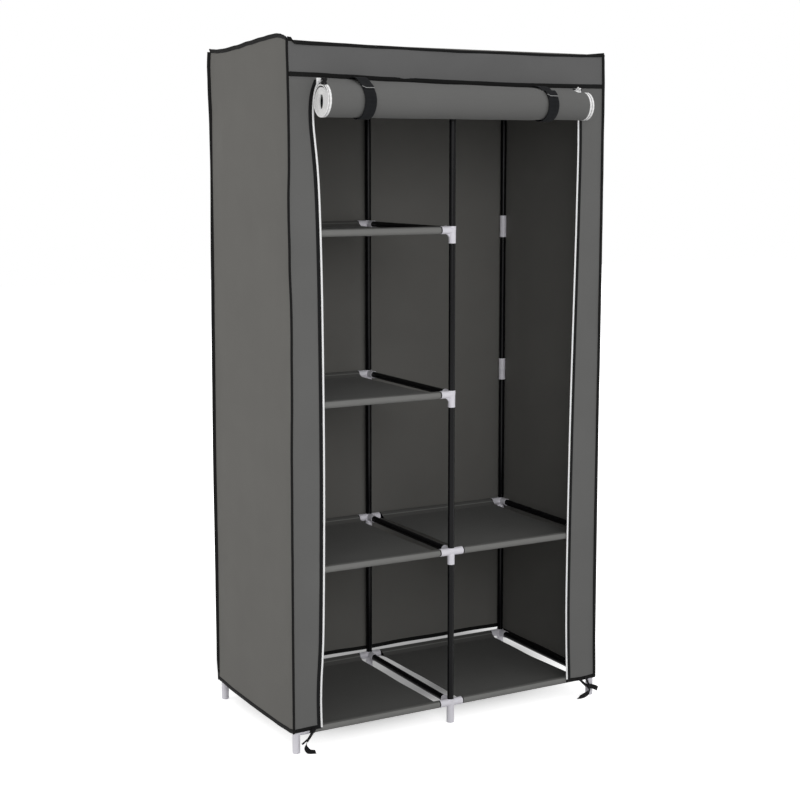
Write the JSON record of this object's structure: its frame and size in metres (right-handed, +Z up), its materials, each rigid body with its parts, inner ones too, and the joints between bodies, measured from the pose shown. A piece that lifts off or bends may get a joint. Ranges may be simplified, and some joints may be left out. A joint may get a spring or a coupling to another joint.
{
  "type": "portable fabric wardrobe",
  "caption": "Portable fabric wardrobe: steel tube frame in push-on connectors, cloth shelves and a hanging rod, under a zipped cloth cover with its door rolled up.",
  "frame": {"origin": "on the floor, under the centre of the whole outline, which takes in the rolled door in front", "axes": "+Z up; the door opening faces -Y; +X is to the right seen from the front"},
  "size_m": [0.883, 0.5504, 1.68],
  "materials": {
    "cover_cloth": "matt non-woven cloth, warm dark grey",
    "shelf_cloth": "matt non-woven cloth, dark grey",
    "steel_tube": "black powder coat, satin",
    "connector_plastic": "white moulded plastic, satin",
    "webbing": "black woven webbing, matt",
    "zip_plastic": "white plastic, semi-gloss"
  },
  "bodies": {
    "wardrobe": {"post_front_left": "steel_tube", "post_front_middle": "steel_tube", "post_front_right": "steel_tube", "post_rear_left": "steel_tube", "post_rear_middle": "steel_tube", "post_rear_right": "steel_tube", "connector_row_front_bottom": "connector_plastic", "connector_row_rear_bottom": "connector_plastic", "connector_row_front_second": "connector_plastic", "connector_row_rear_second": "connector_plastic", "connector_row_front_third": "connector_plastic", "connector_row_rear_third": "connector_plastic", "connector_row_front_fourth": "connector_plastic", "connector_row_rear_fourth": "connector_plastic", "connector_row_front_top": "connector_plastic", "connector_row_rear_top": "connector_plastic", "shelf_left_bottom": "shelf_cloth", "shelf_right_bottom": "shelf_cloth", "shelf_left_second": "shelf_cloth", "shelf_right_second": "shelf_cloth", "shelf_left_third": "shelf_cloth", "shelf_left_fourth": "shelf_cloth", "side_rail_left_bottom": "steel_tube", "side_rail_middle_bottom": "steel_tube", "side_rail_right_bottom": "steel_tube", "side_rail_left_second": "steel_tube", "side_rail_middle_second": "steel_tube", "side_rail_right_second": "steel_tube", "side_rail_left_third": "steel_tube", "side_rail_middle_third": "steel_tube", "side_rail_left_fourth": "steel_tube", "side_rail_middle_fourth": "steel_tube", "side_rail_left_top": "steel_tube", "side_rail_middle_top": "steel_tube", "side_rail_right_top": "steel_tube", "coupling_front_right_third": "connector_plastic", "coupling_front_right_fourth": "connector_plastic", "coupling_rear_right_third": "connector_plastic", "coupling_rear_right_fourth": "connector_plastic", "rod_holder_middle": "connector_plastic", "rod_holder_right": "connector_plastic", "hanging_rod": "steel_tube", "cover_roof": "cover_cloth", "cover_left_side": "cover_cloth", "cover_right_side": "cover_cloth", "cover_back": "cover_cloth", "cover_header": "cover_cloth", "cover_left_stile": "cover_cloth", "cover_right_stile": "cover_cloth", "door_strip": "cover_cloth", "door_strap_left": "webbing", "door_strap_right": "webbing", "tie_left": "webbing", "tie_right": "webbing"},
    "door_roll": {"rolled_door": "cover_cloth"},
    "zip_slider_left": {"zip_slider_left": "zip_plastic"},
    "zip_slider_right": {"zip_slider_right": "zip_plastic"},
    "zip_pull_left": {"zip_pull_left": "zip_plastic"},
    "zip_pull_right": {"zip_pull_right": "zip_plastic"}
  },
  "joints": [
    {"name": "door_drop", "type": "slide", "parent": "wardrobe", "child": "door_roll", "axis": [0, 0, -1], "range_m": [0, 1.455], "deforming": ["door_strip", "door_strap_left", "door_strap_right"]},
    {"name": "zip_left", "type": "slide", "parent": "wardrobe", "child": "zip_slider_left", "axis": [0, 0, -1], "range_m": [0, 1.455]},
    {"name": "zip_right", "type": "slide", "parent": "wardrobe", "child": "zip_slider_right", "axis": [-0.0089, 0, -1], "range_m": [0, 1.455]},
    {"name": "pull_left", "type": "hinge", "parent": "zip_slider_left", "child": "zip_pull_left", "pos_m": [-0.3669, -0.19099, 1.592], "axis": [-1, 0, 0], "range_deg": [0, 85]},
    {"name": "pull_right", "type": "hinge", "parent": "zip_slider_right", "child": "zip_pull_right", "pos_m": [0.36227, -0.19099, 1.592], "axis": [-1, 0, 0], "range_deg": [0, 85]}
  ],
  "couplings": [
    {"joint": "zip_left", "follows": "door_drop", "ratio": 1},
    {"joint": "zip_right", "follows": "door_drop", "ratio": 1}
  ]
}
